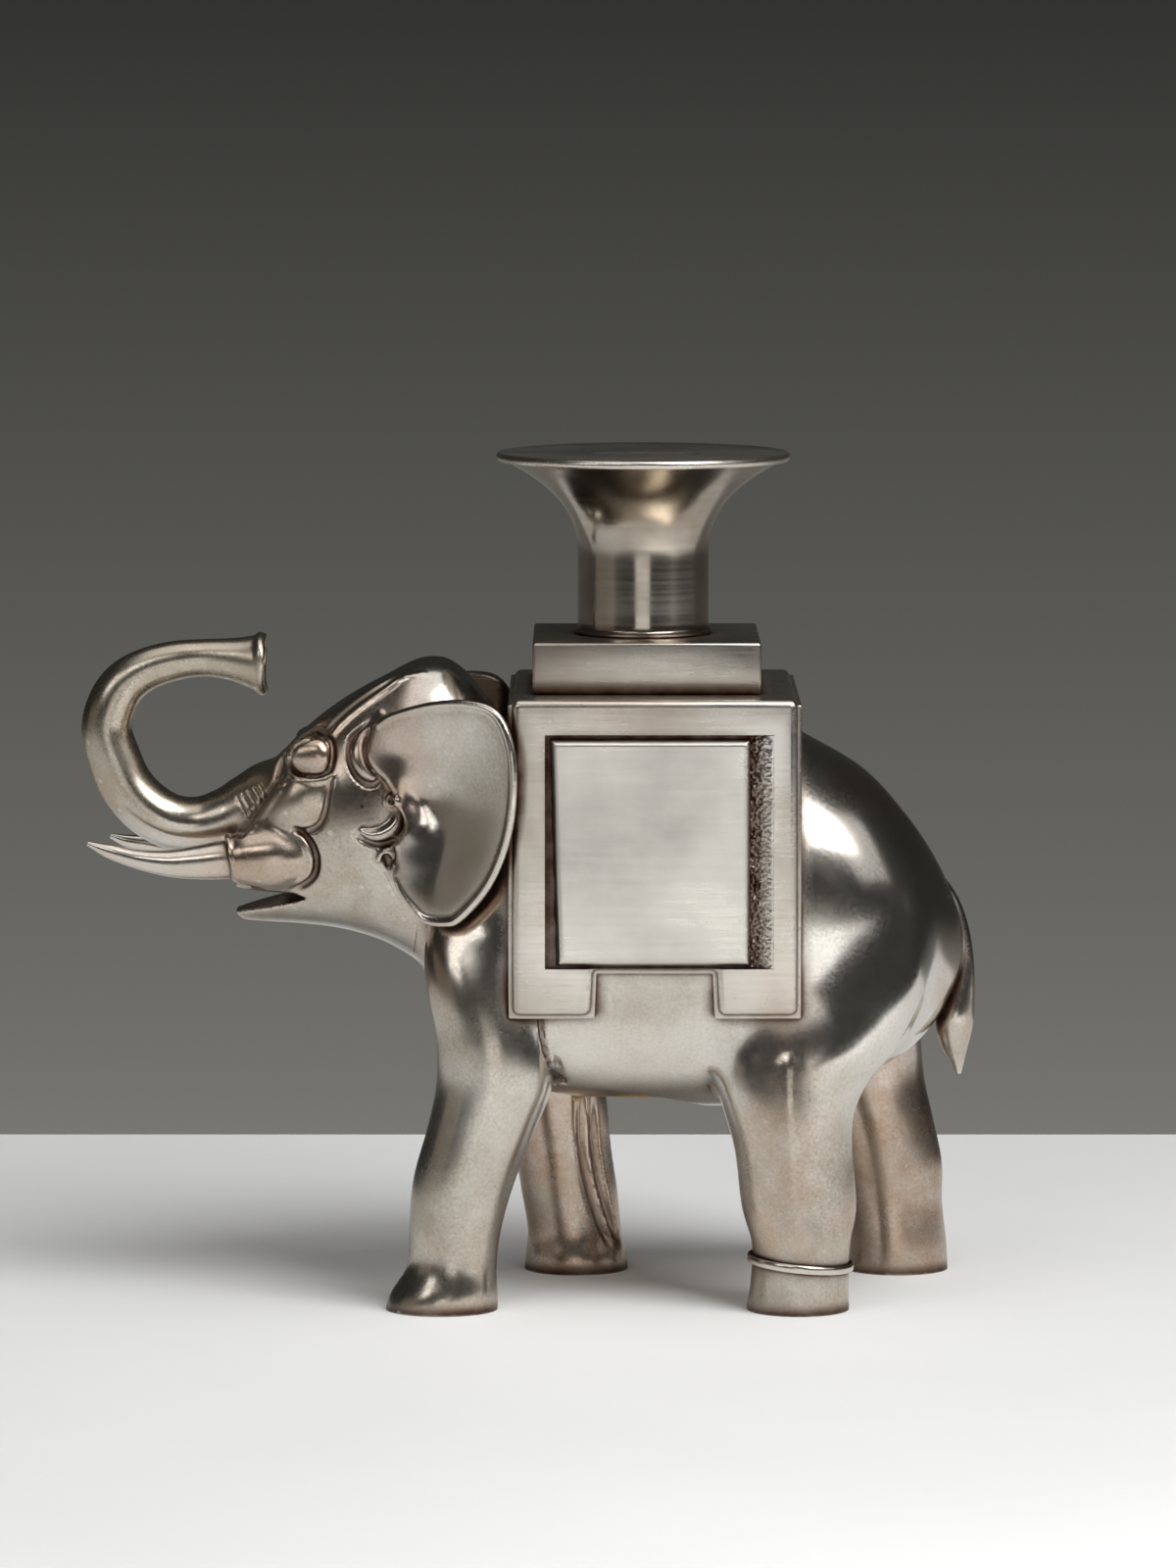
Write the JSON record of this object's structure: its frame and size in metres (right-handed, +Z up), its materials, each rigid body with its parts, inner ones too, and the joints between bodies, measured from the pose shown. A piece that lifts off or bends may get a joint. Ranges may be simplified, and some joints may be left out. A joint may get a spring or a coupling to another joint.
{
  "type": "coin bank",
  "caption": "Silver-plated elephant coin bank with raised trunk, box saddle, square plinth and flared neck under a slotted disc; coins fill the hollow body and leave by a locking belly trap.",
  "frame": {"origin": "middle of the footprint, on the floor the four soles stand on", "axes": "+X toward the tail, -X toward the trunk, -Y toward the elephant's left side (the side in the picture), +Z up"},
  "size_m": [0.2602, 0.1066, 0.2452],
  "materials": {
    "casting": "aged silver plate on cast brass, soft polish, brown tone in the hollows",
    "tusk": "polished silver plate",
    "anklet": "polished silver plate",
    "saddle": "aged silver plate with a rubbed rim and a brown groove",
    "panel": "flat plate, silver plated, finely scratched",
    "plinth": "silver plate, finely scratched",
    "neck": "turned and polished silver plate, worn at the foot",
    "disc": "turned silver plate, dull on top",
    "trap_brass": "turned brass, dull",
    "lock": "turned brass",
    "steel": "plain steel"
  },
  "bodies": {
    "figure": {"body_left": "casting", "body_right": "casting", "head": "casting", "left_ear": "casting", "right_ear": "casting", "trunk": "casting", "tail": "casting", "left_tusk": "tusk", "right_tusk": "tusk", "anklet": "anklet", "saddle": "saddle", "left_panel": "panel", "right_panel": "panel", "plinth": "plinth", "neck": "neck", "slot_disc": "disc", "trap_ring": "trap_brass", "hinge_pin": "steel", "tie_screws": "steel", "plinth_screws": "steel"},
    "trap": {"trap_door": "trap_brass"},
    "lock": {"lock_barrel": "lock", "lock_cam": "steel", "cam_nut": "steel"}
  },
  "joints": [
    {"name": "trap_hinge", "type": "hinge", "parent": "figure", "child": "trap", "pos_m": [0.014, 0, 0.0577], "axis": [0, 1, 0], "range_deg": [0, 100]},
    {"name": "lock_turn", "type": "hinge", "parent": "trap", "child": "lock", "pos_m": [0.0412, 0, 0.0596], "axis": [0, 0, -1], "range_deg": [0, 90]}
  ]
}
